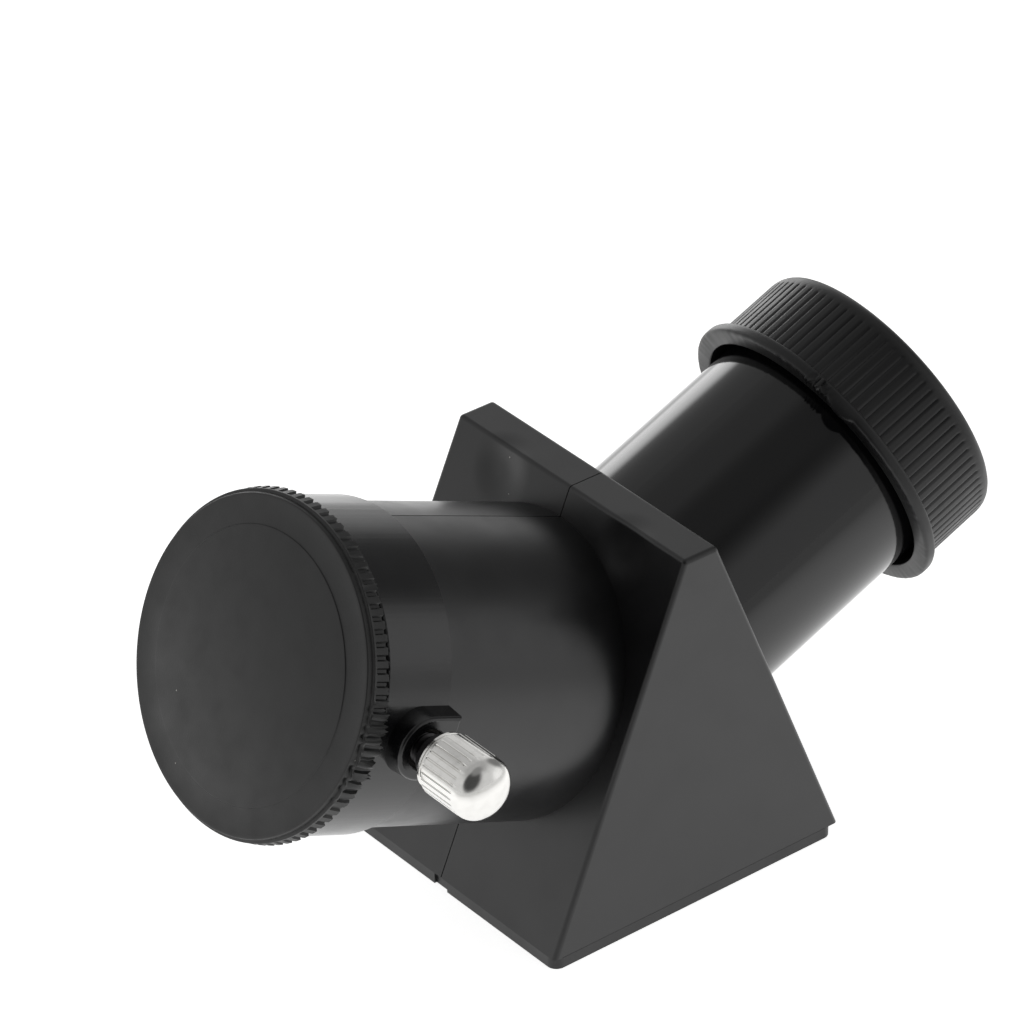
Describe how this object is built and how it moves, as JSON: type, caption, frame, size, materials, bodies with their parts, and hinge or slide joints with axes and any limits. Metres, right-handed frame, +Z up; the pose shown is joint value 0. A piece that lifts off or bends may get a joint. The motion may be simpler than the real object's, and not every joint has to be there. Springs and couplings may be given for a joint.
{
  "type": "erecting prism diagonal",
  "caption": "Compact 45 degree erecting prism diagonal: wedge housing on a flat base, eyepiece tube with thumbscrew, nose barrel and push-on dust caps.",
  "frame": {"origin": "centre of the flat resting face under the housing", "axes": "+Z up from the resting face; X along the light path, eyepiece tube towards -X and nose barrel towards +X; Y across the width, thumbscrew towards -Y"},
  "size_m": [0.0833, 0.0415, 0.0468],
  "materials": {
    "housing_plastic": "satin moulded ABS",
    "cover_plastic": "satin moulded ABS",
    "collar_plastic": "semi-gloss moulded ABS",
    "barrel_plastic": "polished moulded ABS",
    "nose_cap_plastic": "satin moulded polyethylene",
    "eyepiece_cap_plastic": "matt moulded polyethylene",
    "stop_plastic": "matt black",
    "pad_foam": "closed-cell foam",
    "blackened_steel": "black oxide",
    "spring_steel": "rolled",
    "plated_brass": "nickel plated, knurled",
    "insert_brass": "turned and blackened",
    "prism_glass": "polished"
  },
  "bodies": {
    "housing": {"housing_near": "housing_plastic", "housing_far": "housing_plastic", "base_cover": "cover_plastic", "cover_screws": "blackened_steel", "eyepiece_collar": "collar_plastic", "thread_insert": "insert_brass", "nose_barrel": "barrel_plastic", "roof_prism": "prism_glass", "entrance_stop": "stop_plastic", "exit_stop": "stop_plastic", "prism_pad_near": "pad_foam", "prism_pad_far": "pad_foam", "apex_cushion": "pad_foam", "prism_spring": "spring_steel"},
    "thumbscrew": {"thumbscrew_stud": "blackened_steel"},
    "thumbscrew_grip": {"thumbscrew_head": "plated_brass"},
    "eyepiece_dust_cap": {"eyepiece_cap": "eyepiece_cap_plastic"},
    "nose_dust_cap": {"nose_cap": "nose_cap_plastic"}
  },
  "joints": [
    {"name": "eyepiece_cap_pull", "type": "slide", "parent": "housing", "child": "eyepiece_dust_cap", "axis": [-0.9239, 0, 0.3827], "range_m": [0, 0.05]},
    {"name": "nose_cap_pull", "type": "slide", "parent": "housing", "child": "nose_dust_cap", "axis": [0.9239, 0, 0.3827], "range_m": [0, 0.05]},
    {"name": "thumbscrew_travel", "type": "slide", "parent": "housing", "child": "thumbscrew", "axis": [0, -1, 0], "range_m": [-0.0007, 0.003]},
    {"name": "thumbscrew_turn", "type": "hinge", "parent": "thumbscrew", "child": "thumbscrew_grip", "pos_m": [-0.03095, 0, 0.03037], "axis": [0, -1, 0], "range_deg": [-504, 2160]}
  ],
  "couplings": [
    {"joint": "thumbscrew_turn", "follows": "thumbscrew_travel", "rad_per_m": 12566}
  ]
}
